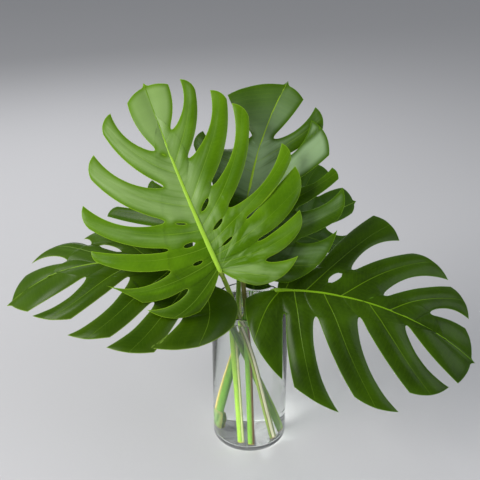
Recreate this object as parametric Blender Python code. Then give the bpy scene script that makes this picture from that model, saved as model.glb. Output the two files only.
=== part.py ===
"""Bunch of monstera leaves standing in water in a clear glass cylinder vase.

The origin is the centre of the vase's base, +Z is up and the front faces -Y.
Leaf outlines are in millimetres in the leaf's own plane: the stalk meets the blade at
(0, 0), +Y runs along the midrib to the apex and +X lies to the right of someone who
looks at the upper face. Every other length is in metres.
"""

import math
from collections import namedtuple

import bmesh
import bpy
from mathutils import Matrix, Vector

MM = 0.001
GAP = 0.0004

# Vase: a plain cylinder with a heavy base, a rounded heel and a rounded rim
VASE_RADIUS = 0.050
VASE_HEIGHT = 0.209
WALL = 0.003
BASE_THICKNESS = 0.006
HEEL_RADIUS = 0.006
VASE_SIDES = 40
ARC_STEPS = 4

# Water, filled to just under the rim
WATER_TOP = 0.199
HOLE_CLEARANCE = 0.0006

# Blade grid of the solids: steps along the joined part of a lobe, along its free part, and across it
INNER_STEPS = 4
OUTER_STEPS = 4
CROSS_STEPS = 4
BLADE_THICKNESS = 1.0
SPINE_GAP = 0.3

# Shape that all lobes share: how far their edges bow, as shares of the edge's length
VEIN_BOW = 0.06
APICAL_BOW = 0.13
CROWN_BULGE = 0.07
SLOT_END = 2.3
LOBE_ARCH = 0.11
TIP_FALL = 9.0
CROWN_START = 0.6
CROWN_FALL = 11.0

# Stalks
STALK_SIDES = 8
STALK_STEPS = 4
SPINE_STEPS = 10
STALK_RADII = ((0.0, 0.0042), (0.14, 0.0036), (0.205, 0.0032), (0.30, 0.0026))
KNEE_LENGTH = 0.022
KNEE_SWELL = 0.0010
SPINE_RADII = (0.0026, 0.0009)

# lift raises a lobe's free end and roll tilts it, up on its apical side. bulge is the bow of that end,
# and a lobe without its own takes the leaf's
Lobe = namedtuple(
    "Lobe",
    "root sinus shoulder tip hole bow lift roll bulge",
    defaults=(None, APICAL_BOW, 0.0, 0.0, None),
)
# belly is the bow of the lobes' basal edges, and foot that of the blade's edges beside the stalk. sheath is
# the height of the swollen stalk foot and how much thicker it is
Leaf = namedtuple(
    "Leaf",
    "name colour junction azimuth lean heading length rise bow wing fall bulge belly foot"
    " left right crown stalk sheath",
    defaults=((0.0, 0.0),),
)

FRONT = Leaf(
    name="leaf_front",
    colour=(0.16, 0.31, 0.045),
    junction=(-0.037, -0.059, 0.285),
    azimuth=0,
    lean=56,
    heading=22.3,
    length=247,
    rise=6,
    bow=-3,
    wing=(0.18, 0.12),
    fall=1.4,
    bulge=0.15,
    belly=0.08,
    foot=(0.07, 0.07),
    left=(
        Lobe(0.03, (-43, -7), (-40, -36), (-96, -9), None, 0.13, -3),
        Lobe(0.08, (-54, 20), (-100, -3), (-130, 36), (0.25, 0.50, 2.2), 0.13, -5, 0.0, -0.02),
        Lobe(0.17, (-47, 44), (-133, 62), (-131, 80), (0.28, 0.62, 2.6), 0.04, -4),
        Lobe(0.25, (-39, 77), (-127, 102), (-120, 134), (0.34, 0.68, 1.3), 0.13, -4),
        Lobe(0.42, (-25, 117), (-104, 158), (-86, 187), None, 0.13, -4),
        Lobe(0.60, (-18, 163), (-71, 206), (-49, 229), None, 0.13, -3),
    ),
    right=(
        Lobe(0.015, (55, -10), (34, -33), (93, -17), None, 0.06),
        Lobe(0.05, (55, 15), (102, 2), (115, 33), None, 0.03),
        Lobe(0.09, (52, 44), (117, 39), (131, 85), (0.25, 0.55, 1.8), 0.0, -3),
        Lobe(0.17, (38, 65), (132, 90), (125, 115), (0.28, 0.68, 2.4), 0.12, 3),
        Lobe(0.27, (29, 97), (105, 159), (88, 184), (0.22, 0.66, 2.6), 0.13, 1, -0.12),
        Lobe(0.43, (16, 139), (89, 190), (70, 210)),
        Lobe(0.68, (10, 180), (58, 217), (41, 238)),
    ),
    crown=((-30, 233), (30, 237)),
    stalk=((0.027, -0.019), (0.004, -0.036, 0.140), (-0.016, -0.027, 0.205), (-0.028, -0.0145, 0.2345)),
)

BACK = Leaf(
    name="leaf_back",
    colour=(0.06, 0.17, 0.02),
    junction=(-0.009, -0.014, 0.264),
    azimuth=-12,
    lean=56,
    heading=-6.5,
    length=244,
    rise=6,
    bow=-14,
    wing=(0.02, 0.19),
    fall=1.2,
    bulge=0.15,
    belly=0.04,
    foot=(0.07, 0.07),
    left=(
        Lobe(0.03, (-20, 8), (-14, -12), (-30, 0)),
        Lobe(0.10, (-52, 37), (-45, 8), (-62, 26)),
        Lobe(0.20, (-76, 52), (-200, 28), (-188, 48), None, 0.0),
        Lobe(0.36, (-62, 94), (-151, 72), (-146, 90)),
        Lobe(0.62, (-27, 166), (-104, 142), (-92, 165), None, 0.3),
    ),
    right=(
        Lobe(0.06, (60, 45), (58, -7), (103, 70)),
        Lobe(0.15, (50, 82), (104, 79), (98, 122)),
        Lobe(0.26, (36, 110), (95, 130), (80, 145)),
        Lobe(0.42, (18, 142), (78, 156), (42, 197), None, 0.13, 8),
        Lobe(0.66, (2, 168), (61, 189), (41, 220), None, 0.13, -5),
    ),
    crown=((-74, 214), (29, 225)),
    stalk=((0.002, -0.035), (-0.002, -0.013, 0.140), (-0.006, -0.010, 0.205), (-0.009, -0.010, 0.240)),
)

RIGHT = Leaf(
    name="leaf_right",
    colour=(0.028, 0.085, 0.008),
    junction=(0.033, -0.033, 0.243),
    azimuth=10,
    lean=45,
    heading=-115.4,
    length=259,
    rise=18,
    bow=-18,
    wing=(0.05, 0.05),
    fall=2.5,
    bulge=0.13,
    belly=0.04,
    foot=(0.07, 0.07),
    left=(
        Lobe(0.07, (-40, 34), (-38, 2), (-58, 30)),
        Lobe(0.18, (-54, 80), (-144, 88), (-116, 131), (0.35, 0.75, 4.2)),
        Lobe(0.40, (-34, 126), (-108, 149), (-87, 204)),
        Lobe(0.66, (-34, 188), (-84, 208), (-48, 242)),
    ),
    right=(
        Lobe(0.03, (26, 17), (19, -33), (101, 42), None, 0.0),
        Lobe(0.12, (19, 54), (107, 54), (115, 117), None, 0.10, 0.0, 0.0, 0.06),
        Lobe(0.30, (3, 104), (96, 126), (91, 185), None, 0.11, 0.0, 0.0, 0.09),
        Lobe(0.55, (-7, 162), (69, 189), (41, 237), None, 0.11),
    ),
    crown=((-38, 240), (37, 246)),
    stalk=(
        (-0.031, 0.006),
        (-0.026, 0.010, 0.036),
        (-0.009, 0.016, 0.140),
        (0.005, 0.010, 0.205),
        (0.017, -0.002, 0.216),
    ),
    sheath=(0.034, 0.0019),
)

LEFT = Leaf(
    name="leaf_left",
    colour=(0.035, 0.10, 0.010),
    junction=(-0.056, -0.026, 0.249),
    azimuth=-10,
    lean=32,
    heading=101.8,
    length=249,
    rise=36,
    bow=22,
    wing=(0.05, 0.05),
    fall=1.5,
    bulge=0.1,
    belly=0.04,
    foot=(0.36, 0.07),
    left=(
        Lobe(0.03, (-50, 28), (-53, -30), (-88, 66), None, 0.06, 4, 0.0, 0.18),
        Lobe(0.10, (-34, 60), (-96, 60), (-85, 117), None, 0.08),
        Lobe(0.22, (0, 89), (-77, 111), (-64, 164), None, 0.12),
        Lobe(0.45, (4, 142), (-47, 160), (-28, 212), None, 0.13),
    ),
    right=(
        Lobe(0.04, (36, 13), (26, -10), (46, 4)),
        Lobe(0.13, (48, 62), (66, 12), (62, 70)),
        Lobe(0.28, (50, 138), (72, 86), (63, 150), (0.45, 0.85, 3.0)),
        Lobe(0.53, (32, 168), (64, 158), (45, 220)),
    ),
    crown=((-26, 218), (34, 229)),
    stalk=((0.033, -0.004), (-0.006, -0.001, 0.140), (-0.028, -0.011, 0.205), (-0.045, -0.019, 0.237)),
)

REAR = Leaf(
    name="leaf_rear",
    colour=(0.05, 0.13, 0.02),
    junction=(-0.013, 0.042, 0.252),
    azimuth=25,
    lean=56,
    heading=-77.8,
    length=198,
    rise=10,
    bow=0,
    wing=(0.08, 0.08),
    fall=2.0,
    bulge=0.15,
    belly=0.04,
    foot=(0.07, 0.07),
    left=(
        Lobe(0.05, (-38, 30), (-50, -2), (-76, 40)),
        Lobe(0.25, (-38, 80), (-82, 74), (-84, 118)),
        Lobe(0.55, (-30, 136), (-80, 146), (-48, 178)),
    ),
    right=(
        Lobe(0.05, (30, 24), (30, -16), (54, 26)),
        Lobe(0.25, (24, 76), (58, 48), (58, 98)),
        Lobe(0.55, (14, 130), (54, 128), (35, 162)),
    ),
    crown=((-28, 188), (15, 184)),
    stalk=((-0.010, -0.031), (-0.014, 0.006, 0.140), (-0.015, 0.022, 0.205), (-0.014, 0.033, 0.232)),
)

LEAVES = (FRONT, BACK, RIGHT, LEFT, REAR)


def clear_scene():
    for thing in list(bpy.data.objects):
        bpy.data.objects.remove(thing, do_unlink=True)


def make_material(name, colour, roughness, alpha=1.0, transmission=0.0, ior=1.45):
    material = bpy.data.materials.new(name)
    material.use_nodes = True
    surface = material.node_tree.nodes["Principled BSDF"]
    surface.inputs["Base Color"].default_value = (*colour, 1.0)
    surface.inputs["Roughness"].default_value = roughness
    surface.inputs["Metallic"].default_value = 0.0
    surface.inputs["Alpha"].default_value = alpha
    surface.inputs["Transmission Weight"].default_value = transmission
    surface.inputs["IOR"].default_value = ior
    return material


def add_object(name, bm, material):
    """Put a bmesh into the scene as a named object, shaded smooth where it is round."""
    bmesh.ops.recalc_face_normals(bm, faces=bm.faces)
    mesh = bpy.data.meshes.new(name)
    bm.to_mesh(mesh)
    bm.free()
    mesh.materials.append(material)
    mesh.shade_smooth()
    mesh.set_sharp_from_angle(angle=math.radians(50))
    thing = bpy.data.objects.new(name, mesh)
    bpy.context.scene.collection.objects.link(thing)
    return thing


def arc(centre, radius, start, end, steps):
    """Profile points (r, z) along an arc, with angles in degrees from +r."""
    angles = [math.radians(start + (end - start) * i / steps) for i in range(steps + 1)]
    return [(centre[0] + radius * math.cos(a), centre[1] + radius * math.sin(a)) for a in angles]


def turned(profile, sides):
    """Closed body turned round Z from a profile that starts and ends on the axis."""
    bm = bmesh.new()
    rings = []
    for radius, z in profile:
        if radius < 1e-6:
            rings.append([bm.verts.new((0, 0, z))])
            continue
        turns = [2 * math.pi * k / sides for k in range(sides)]
        rings.append([bm.verts.new((radius * math.cos(t), radius * math.sin(t), z)) for t in turns])
    for low, high in zip(rings, rings[1:]):
        for k in range(sides):
            m = (k + 1) % sides
            corners = [low[k % len(low)], low[m % len(low)], high[m % len(high)], high[k % len(high)]]
            bm.faces.new(list(dict.fromkeys(corners)))
    return bm


def make_vase():
    inner = VASE_RADIUS - WALL
    heel = HEEL_RADIUS
    profile = [(0, 0)]
    profile += arc((VASE_RADIUS - heel, heel), heel, -90, 0, ARC_STEPS)
    profile += arc((VASE_RADIUS - WALL / 2, VASE_HEIGHT - WALL / 2), WALL / 2, 0, 180, ARC_STEPS)
    profile += arc((inner - heel, BASE_THICKNESS + heel), heel, 0, -90, ARC_STEPS)
    profile += [(0, BASE_THICKNESS)]
    glass = make_material("clear_glass", (0.93, 0.95, 0.95), 0.03, transmission=1.0)
    return add_object("vase", turned(profile, VASE_SIDES), glass)


def smooth_path(points, steps):
    """Points along a smooth curve that passes through every given point."""
    first = points[0] * 2 - points[1]
    last = points[-1] * 2 - points[-2]
    knots = [first, *points, last]
    path = []
    for a, b, c, d in zip(knots, knots[1:], knots[2:], knots[3:]):
        for k in range(steps):
            t = k / steps
            bend = (a * 2 - b * 5 + c * 4 - d) * t**2 + (b * 3 - a - c * 3 + d) * t**3
            path.append((b * 2 + (c - a) * t + bend) / 2)
    return path + [points[-1]]


def interpolate(table, x):
    """Value at x in a table of (x, value) pairs, held constant past its ends."""
    for (x0, v0), (x1, v1) in zip(table, table[1:]):
        if x < x1:
            return v0 + (v1 - v0) * max(0.0, (x - x0) / (x1 - x0))
    return table[-1][1]


def tube(path, radii, sides):
    """Closed tube with flat ends along a path, its rings carried on without twist."""
    bm = bmesh.new()
    across = Vector((1, 0, 0))
    rings = []
    for i, (point, radius) in enumerate(zip(path, radii)):
        ahead = path[min(i + 1, len(path) - 1)] - path[max(i - 1, 0)]
        ahead.normalize()
        across = (across - ahead * across.dot(ahead)).normalized()
        beside = ahead.cross(across)
        turns = [2 * math.pi * k / sides for k in range(sides)]
        ring = [point + (across * math.cos(t) + beside * math.sin(t)) * radius for t in turns]
        rings.append([bm.verts.new(p) for p in ring])
    for low, high in zip(rings, rings[1:]):
        for k in range(sides):
            m = (k + 1) % sides
            bm.faces.new((low[k], low[m], high[m], high[k]))
    bm.faces.new(rings[0][::-1])
    bm.faces.new(rings[-1])
    return bm


def stalk_points(leaf):
    """Points of the stalk's middle line. Its slanting foot just clears the vase's floor."""
    foot = Vector((*leaf.stalk[0], BASE_THICKNESS))
    upper = [Vector(point) for point in leaf.stalk[1:]]
    slant = (upper[0] - foot).normalized()
    foot.z += GAP + stalk_radius(leaf, foot) * math.hypot(slant.x, slant.y)
    return [foot, *upper, Vector(leaf.junction)]


def placement(leaf):
    """Matrix from the leaf's plane, in millimetres, to the world, in metres."""
    turn = Matrix.Rotation(math.radians(leaf.azimuth), 4, "Z")
    lean = Matrix.Rotation(math.radians(leaf.lean), 4, "X")
    heading = Matrix.Rotation(math.radians(leaf.heading), 4, "Z")
    return Matrix.Translation(leaf.junction) @ turn @ lean @ heading @ Matrix.Scale(MM, 4)


def midrib(leaf, share):
    """Point of the midrib at a share of its length, bowed to one side."""
    return Vector((4 * leaf.bow * share * (1 - share), leaf.length * share))


def blade_height(leaf, x, y):
    """Height over the leaf's plane: arched along the midrib, raised beside it and falling to the edge."""
    share = y / leaf.length
    spine = midrib(leaf, max(0.0, share)).x
    side = abs(x - spine)
    wing = leaf.wing[x > spine]
    return leaf.rise * 4 * share * (1 - share) + wing * side - leaf.fall * side**2 / 2000


def bowed(start, end, bow, shares):
    """Points from start to end along a shallow arc that bows to the right of the way by a share of it."""
    way = end - start
    beside = Vector((way.y, -way.x))
    return [start + way * t + beside * (4 * bow * t * (1 - t)) for t in shares]


def shares(steps):
    return [i / steps for i in range(steps + 1)]


def opened(points, amount, sign):
    """The free edge of a lobe, moved sideways so that the slot has a rounded inner end."""
    moved = [points[0]]
    for before, point in zip(points, points[1:]):
        way = (point - before).normalized()
        share = min(1.0, (point - points[0]).length / (4 * SLOT_END))
        offset = amount * math.sqrt(1 - (1 - share) ** 2)
        moved.append(point + Vector((way.y, -way.x)) * (offset * sign))
    return moved


def joined_edge(start, sinus, hole, sign, side):
    """The line that two lobes share from the midrib out to the slot, round the hole on it."""
    first, last, width = hole or (0.25, 0.75, 0.0)
    line = []
    for share in shares(INNER_STEPS):
        along = interpolate(((0, 0), (0.25, first), (0.75, last), (1, 1)), share)
        spread = width * math.sqrt(max(0.0, 1 - (4 * share - 2) ** 2))
        point = bowed(start, sinus, VEIN_BOW * side, [along])[0]
        way = (sinus - start).normalized()
        line.append(point + Vector((way.y, -way.x)) * (spread * sign))
    return line


def patch(low, high, basal, apical):
    """Grid of points filling four edges: rows run from low to high and columns from basal to apical."""
    rows = len(basal) - 1
    columns = len(low) - 1
    grid = []
    for i in range(rows + 1):
        v = i / rows
        row = []
        for j in range(columns + 1):
            u = j / columns
            lengthwise = low[j] * (1 - v) + high[j] * v
            crosswise = basal[i] * (1 - u) + apical[i] * u
            corners = (low[0] * (1 - u) + low[-1] * u) * (1 - v) + (high[0] * (1 - u) + high[-1] * u) * v
            row.append(lengthwise + crosswise - corners)
        grid.append(row)
    return grid


def lobe_grids(leaf, side):
    """Each lobe of a half blade with its grid, from the base to the crown, whose lobe is None.

    side is 1 for the right half.
    """
    lobes = leaf.right if side > 0 else leaf.left
    inset = Vector((SPINE_GAP * side, 0))
    crown = Vector(leaf.crown[side > 0])
    grids = []
    root = 0.0
    for k, lobe in enumerate((*lobes, None)):
        start = midrib(leaf, root) + inset
        if lobe is None:
            apical = [midrib(leaf, root + (1 - root) * t) + inset for t in shares(INNER_STEPS + OUTER_STEPS)]
            shoulder = crown
            low = [start] * (CROSS_STEPS + 1)
        else:
            sinus, shoulder, tip = Vector(lobe.sinus), Vector(lobe.shoulder), Vector(lobe.tip)
            end = midrib(leaf, lobe.root) + inset
            low = [midrib(leaf, root + (lobe.root - root) * t) + inset for t in shares(CROSS_STEPS)]
            inner = joined_edge(end, sinus, lobe.hole, side, side)
            outer = bowed(sinus, tip, lobe.bow * side, shares(OUTER_STEPS))
            apical = inner + opened(outer, SLOT_END, side)[1:]
        if k == 0:
            foot = leaf.foot[side > 0] * side
            basal = bowed(start, shoulder, foot, shares(INNER_STEPS + OUTER_STEPS))
        else:
            inner = joined_edge(start, slot_end, hole, -side, side)
            outer = bowed(slot_end, shoulder, leaf.belly * side, shares(OUTER_STEPS))
            basal = inner + opened(outer, SLOT_END, -side)[1:]
        bulge = CROWN_BULGE
        if lobe is not None:
            bulge = leaf.bulge if lobe.bulge is None else lobe.bulge
        high = bowed(basal[-1], apical[-1], bulge * side, shares(CROSS_STEPS))
        grids.append((lobe, patch(low, high, basal, apical)))
        if lobe is not None:
            root, slot_end, hole = lobe.root, sinus, lobe.hole
    return grids


def crown_fall(leaf, y):
    """How far the crown has fallen at a distance up the midrib."""
    return CROWN_FALL * max(0.0, (y / leaf.length - CROWN_START) / (1 - CROWN_START)) ** 3


def lobe_relief(leaf, lobe, grid, i, j):
    """Height that a lobe adds: arched across, with its tip falling, and its free part lifted and rolled."""
    u = j / (len(grid[0]) - 1)
    v = i / (len(grid) - 1)
    width = (grid[i][-1] - grid[i][0]).length
    arch = width * LOBE_ARCH * math.sin(math.pi * u) * min(1.0, 2 * v)
    if lobe is None:
        return arch - crown_fall(leaf, grid[i][j].y)
    free = max(0.0, 2 * v - 1)
    return arch - TIP_FALL * v**3 + free * (lobe.lift + lobe.roll * width * (u - 0.5))


def half_blade(leaf, side):
    """Closed thin body of one half of the blade: alike triangles on both faces, with walls between."""
    place = placement(leaf)
    lower = place.to_3x3() @ Vector((0, 0, -BLADE_THICKNESS))
    bm = bmesh.new()
    top = {}
    triangles = []

    def corner(lobe, grid, i, j):
        point = grid[i][j]
        key = (round(point.x, 2), round(point.y, 2))
        if key not in top:
            height = blade_height(leaf, point.x, point.y) + lobe_relief(leaf, lobe, grid, i, j)
            middle = place @ Vector((point.x, point.y, height)) - lower / 2
            top[key] = (bm.verts.new(middle), bm.verts.new(middle + lower))
        return key

    for lobe, grid in lobe_grids(leaf, side):
        for i in range(len(grid) - 1):
            for j in range(len(grid[0]) - 1):
                a, b = corner(lobe, grid, i, j), corner(lobe, grid, i, j + 1)
                c, d = corner(lobe, grid, i + 1, j + 1), corner(lobe, grid, i + 1, j)
                triangles += [t for t in ((a, b, c), (a, c, d)) if len(set(t)) == 3]
    edges = {}
    for triangle in triangles:
        bm.faces.new([top[key][0] for key in triangle])
        bm.faces.new([top[key][1] for key in reversed(triangle)])
        for pair in zip(triangle, triangle[1:] + triangle[:1]):
            edges[frozenset(pair)] = edges.get(frozenset(pair), []) + [pair]
    for pairs in edges.values():
        if len(pairs) == 1:
            a, b = pairs[0]
            bm.faces.new((top[b][0], top[a][0], top[a][1]))
            bm.faces.new((top[b][0], top[a][1], top[b][1]))
    return bm


def spine_points(leaf):
    place = placement(leaf)
    points = []
    for share in shares(SPINE_STEPS)[1:]:
        point = midrib(leaf, share)
        height = blade_height(leaf, point.x, point.y) - crown_fall(leaf, point.y)
        points.append(place @ Vector((point.x, point.y, height)))
    return points


def stalk_radius(leaf, point):
    """Radius of the stalk at a point: tapering upwards, swollen in the knee under the blade and in the sheath."""
    away = (point - Vector(leaf.junction)).length
    swell = KNEE_SWELL * math.sin(math.pi * min(1.0, away / KNEE_LENGTH))
    height, thicker = leaf.sheath
    if point.z < height:
        swell = thicker * math.sin(math.pi * point.z / height)
    return interpolate(STALK_RADII, point.z) + swell


def make_leaf(leaf):
    """Stalk with its midrib, and the two halves of the blade joined to it, as one body."""
    material = make_material(f"{leaf.name}_green", leaf.colour, 0.35)
    stalk = smooth_path(stalk_points(leaf), STALK_STEPS)
    spine = spine_points(leaf)
    radii = [stalk_radius(leaf, point) for point in stalk]
    thick, thin = SPINE_RADII
    radii += [thick + (thin - thick) * share for share in shares(SPINE_STEPS)[1:]]
    whole = add_object(leaf.name, tube(stalk + spine, radii, STALK_SIDES), material)
    halves = bpy.data.collections.new(f"{leaf.name}_halves")
    for side in (-1, 1):
        half = add_object(f"{leaf.name}_half", half_blade(leaf, side), material)
        halves.objects.link(half)
    union = whole.modifiers.new("join_halves", "BOOLEAN")
    union.operation = "UNION"
    union.solver = "EXACT"
    union.operand_type = "COLLECTION"
    union.collection = halves
    apply_modifiers(whole)
    for half in list(halves.objects):
        bpy.data.objects.remove(half, do_unlink=True)
    bpy.data.collections.remove(halves)
    return whole


def apply_modifiers(thing):
    """Replace the object's mesh by what its modifiers make of it."""
    bpy.context.view_layer.update()
    evaluated = thing.evaluated_get(bpy.context.evaluated_depsgraph_get())
    mesh = bpy.data.meshes.new_from_object(evaluated)
    thing.modifiers.clear()
    thing.data = mesh


def make_water():
    """Water with a plain hole for each stalk."""
    radius = VASE_RADIUS - WALL - GAP
    heel = HEEL_RADIUS
    profile = [(0, BASE_THICKNESS + GAP)]
    profile += arc((radius - heel, BASE_THICKNESS + GAP + heel), heel, -90, 0, ARC_STEPS)
    profile += [(radius, WATER_TOP), (0, WATER_TOP)]
    material = make_material("water", (0.93, 0.97, 0.95), 0.0, transmission=1.0, ior=1.33)
    water = add_object("water", turned(profile, VASE_SIDES), material)
    for leaf in LEAVES:
        points = stalk_points(leaf)
        below = points[0] - (points[1] - points[0]).normalized() * 3 * GAP
        path = smooth_path([below, *points], STALK_STEPS)
        path = [below, *path[STALK_STEPS:]]
        last = next(i for i, point in enumerate(path) if point.z > WATER_TOP + GAP)
        path = path[: last + 1]
        radii = [stalk_radius(leaf, point) + HOLE_CLEARANCE for point in path]
        cutter = add_object(f"{leaf.name}_hole", tube(path, radii, STALK_SIDES), material)
        cutter.hide_render = True
        cutter.display_type = "WIRE"
        cut = water.modifiers.new(f"{leaf.name}_hole", "BOOLEAN")
        cut.operation = "DIFFERENCE"
        cut.solver = "EXACT"
        cut.object = cutter
    return water


def main():
    clear_scene()
    make_vase()
    make_water()
    for leaf in LEAVES:
        make_leaf(leaf)


main()
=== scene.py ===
"""Bunch of monstera leaves standing in water in a clear glass cylinder vase.

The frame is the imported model's: metres, +Z up, the front faces -Y. Leaf outlines are in millimetres in
the leaf's own plane: the stalk meets the blade at (0, 0), +Y runs along the midrib to the apex and +X
lies to the right of someone who looks at the upper face.
"""

import functools
import math
from collections import namedtuple

import bmesh
import bpy
import numpy as np
from mathutils import Matrix, Vector, noise


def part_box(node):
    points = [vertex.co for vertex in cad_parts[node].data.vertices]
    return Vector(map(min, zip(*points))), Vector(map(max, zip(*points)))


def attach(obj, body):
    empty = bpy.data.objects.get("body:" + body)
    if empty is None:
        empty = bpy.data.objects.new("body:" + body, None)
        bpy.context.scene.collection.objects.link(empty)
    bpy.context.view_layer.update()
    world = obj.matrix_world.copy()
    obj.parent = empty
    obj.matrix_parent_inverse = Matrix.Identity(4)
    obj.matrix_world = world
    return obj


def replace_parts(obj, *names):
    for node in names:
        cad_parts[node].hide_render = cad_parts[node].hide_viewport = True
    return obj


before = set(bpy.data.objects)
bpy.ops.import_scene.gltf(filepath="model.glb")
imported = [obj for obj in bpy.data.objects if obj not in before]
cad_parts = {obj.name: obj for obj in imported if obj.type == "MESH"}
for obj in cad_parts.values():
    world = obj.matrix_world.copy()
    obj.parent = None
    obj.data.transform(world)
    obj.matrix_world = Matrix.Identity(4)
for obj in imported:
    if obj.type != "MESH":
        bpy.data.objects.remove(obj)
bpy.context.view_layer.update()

bl_info = {
    "name": "Monstera Leaves in a Vase",
    "version": (1, 0, 0),
    "blender": (4, 5, 0),
    "location": "3D View > Sidebar > Monstera",
    "description": "Builds a bunch of monstera leaves in a glass vase, with its materials and studio",
    "category": "Object",
}

VASE_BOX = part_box("vase")
WATER_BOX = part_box("water")

MM = 0.001

# Blade grid: steps along the joined part of a lobe, along its free part, and across it
INNER_STEPS = 12
OUTER_STEPS = 24
CROSS_STEPS = 20

# Shape that all blades share, in millimetres, with bows as shares of an edge's length. The drip tip is the
# point that ends the crown, and CROWN_START is the share of the midrib from which the crown falls.
SPINE_GAP = 0.02
DRIP_TIP = 6.0
DRIP_WIDTH = 5.0
VEIN_BOW = 0.06
APICAL_BOW = 0.13
CROWN_BULGE = 0.07
SLOT_END = 2.3
LOBE_ARCH = 0.11
TIP_FALL = 9.0
FOLD_WIDTH = 5.0
CROWN_START = 0.6
CROWN_FALL = 11.0

# Stalks and midribs, in metres. The stalk's radius goes with the height, the midrib's with the share of its
# length. SPINE_FLAT is how high the midrib stands for its width, and SPINE_END the share at which it stops.
STALK_SIDES = 24
STALK_STEPS = 24
SPINE_STEPS = 60
STALK_RADII = ((0.0, 0.0042), (0.14, 0.0036), (0.205, 0.0032), (0.30, 0.0026))
KNEE_LENGTH = 0.022
KNEE_SWELL = 0.0010
SPINE_RADII = ((0.0, 0.0026), (0.6, 0.0014), (0.8, 0.0009), (1.0, 0.0006))
SPINE_FLAT = 0.7
SPINE_END = 0.975
FOOT_GAP = 0.0004
STREAK_RIDGE = 0.0004

# Sheath, in metres, with the angles at which it starts and through which it goes round the stalk
SHEATH_COLUMNS = 28
SHEATH_THICKNESS = 0.0005
SHEATH_GAP = 0.0004
SHEATH_START = -10
SHEATH_SWEEP = 300

# Materials: millimetres to one unit of a blade's texture, the distance between fine veins in such units, and
# how much of the light a blade lets through
CHART_MM = 100
FINE_VEIN_STEP = 0.055
BLADE_GLOW = 0.14

# Studio. The lens is in millimetres and the tilt is from straight down, in degrees.
FLOOR_SIZE = 30.0
CAMERA_LENS = 59.475
CAMERA_PLACE = (-0.013, -0.888, 0.729)
CAMERA_TILT = 64

# lift raises a lobe's free end and roll tilts it, up on its apical side. bulge is the bow of that end,
# and a lobe without its own takes the leaf's
Lobe = namedtuple(
    "Lobe",
    "root sinus shoulder tip hole bow lift roll bulge",
    defaults=(None, APICAL_BOW, 0.0, 0.0, None),
)
# belly is the bow of the lobes' basal edges, and foot that of the blade's edges beside the stalk. sheath is
# the height of the swollen stalk foot and how much thicker it is
Leaf = namedtuple(
    "Leaf",
    "name junction azimuth lean heading length rise bow wing fall bulge belly foot"
    " left right crown stalk sheath",
    defaults=((0.0, 0.0),),
)

FRONT = Leaf(
    name="leaf_front",
    junction=(-0.037, -0.059, 0.285),
    azimuth=0,
    lean=56,
    heading=22.3,
    length=247,
    rise=6,
    bow=-3,
    wing=(0.18, 0.12),
    fall=1.4,
    bulge=0.15,
    belly=0.08,
    foot=(0.07, 0.07),
    left=(
        Lobe(0.03, (-43, -7), (-40, -36), (-96, -9), None, 0.13, -3),
        Lobe(0.08, (-54, 20), (-100, -3), (-130, 36), (0.25, 0.50, 2.2), 0.13, -5, 0.0, -0.02),
        Lobe(0.17, (-47, 44), (-133, 62), (-131, 80), (0.28, 0.62, 2.6), 0.04, -4),
        Lobe(0.25, (-39, 77), (-127, 102), (-120, 134), (0.34, 0.68, 1.3), 0.13, -4),
        Lobe(0.42, (-25, 117), (-104, 158), (-86, 187), None, 0.13, -4),
        Lobe(0.60, (-18, 163), (-71, 206), (-49, 229), None, 0.13, -3),
    ),
    right=(
        Lobe(0.015, (55, -10), (34, -33), (93, -17), None, 0.06),
        Lobe(0.05, (55, 15), (102, 2), (115, 33), None, 0.03),
        Lobe(0.09, (52, 44), (117, 39), (131, 85), (0.25, 0.55, 1.8), 0.0, -3),
        Lobe(0.17, (38, 65), (132, 90), (125, 115), (0.28, 0.68, 2.4), 0.12, 3),
        Lobe(0.27, (29, 97), (105, 159), (88, 184), (0.22, 0.66, 2.6), 0.13, 1, -0.12),
        Lobe(0.43, (16, 139), (89, 190), (70, 210)),
        Lobe(0.68, (10, 180), (58, 217), (41, 238)),
    ),
    crown=((-30, 233), (30, 237)),
    stalk=((0.027, -0.019), (0.004, -0.036, 0.140), (-0.016, -0.027, 0.205), (-0.028, -0.0145, 0.2345)),
)

BACK = Leaf(
    name="leaf_back",
    junction=(-0.009, -0.014, 0.264),
    azimuth=-12,
    lean=56,
    heading=-6.5,
    length=244,
    rise=6,
    bow=-14,
    wing=(0.02, 0.19),
    fall=1.2,
    bulge=0.15,
    belly=0.04,
    foot=(0.07, 0.07),
    left=(
        Lobe(0.03, (-20, 8), (-14, -12), (-30, 0)),
        Lobe(0.10, (-52, 37), (-45, 8), (-62, 26)),
        Lobe(0.20, (-76, 52), (-200, 28), (-188, 48), None, 0.0),
        Lobe(0.36, (-62, 94), (-151, 72), (-146, 90)),
        Lobe(0.62, (-27, 166), (-104, 142), (-92, 165), None, 0.3),
    ),
    right=(
        Lobe(0.06, (60, 45), (58, -7), (103, 70)),
        Lobe(0.15, (50, 82), (104, 79), (98, 122)),
        Lobe(0.26, (36, 110), (95, 130), (80, 145)),
        Lobe(0.42, (18, 142), (78, 156), (42, 197), None, 0.13, 8),
        Lobe(0.66, (2, 168), (61, 189), (41, 220), None, 0.13, -5),
    ),
    crown=((-74, 214), (29, 225)),
    stalk=((0.002, -0.035), (-0.002, -0.013, 0.140), (-0.006, -0.010, 0.205), (-0.009, -0.010, 0.240)),
)

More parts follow.
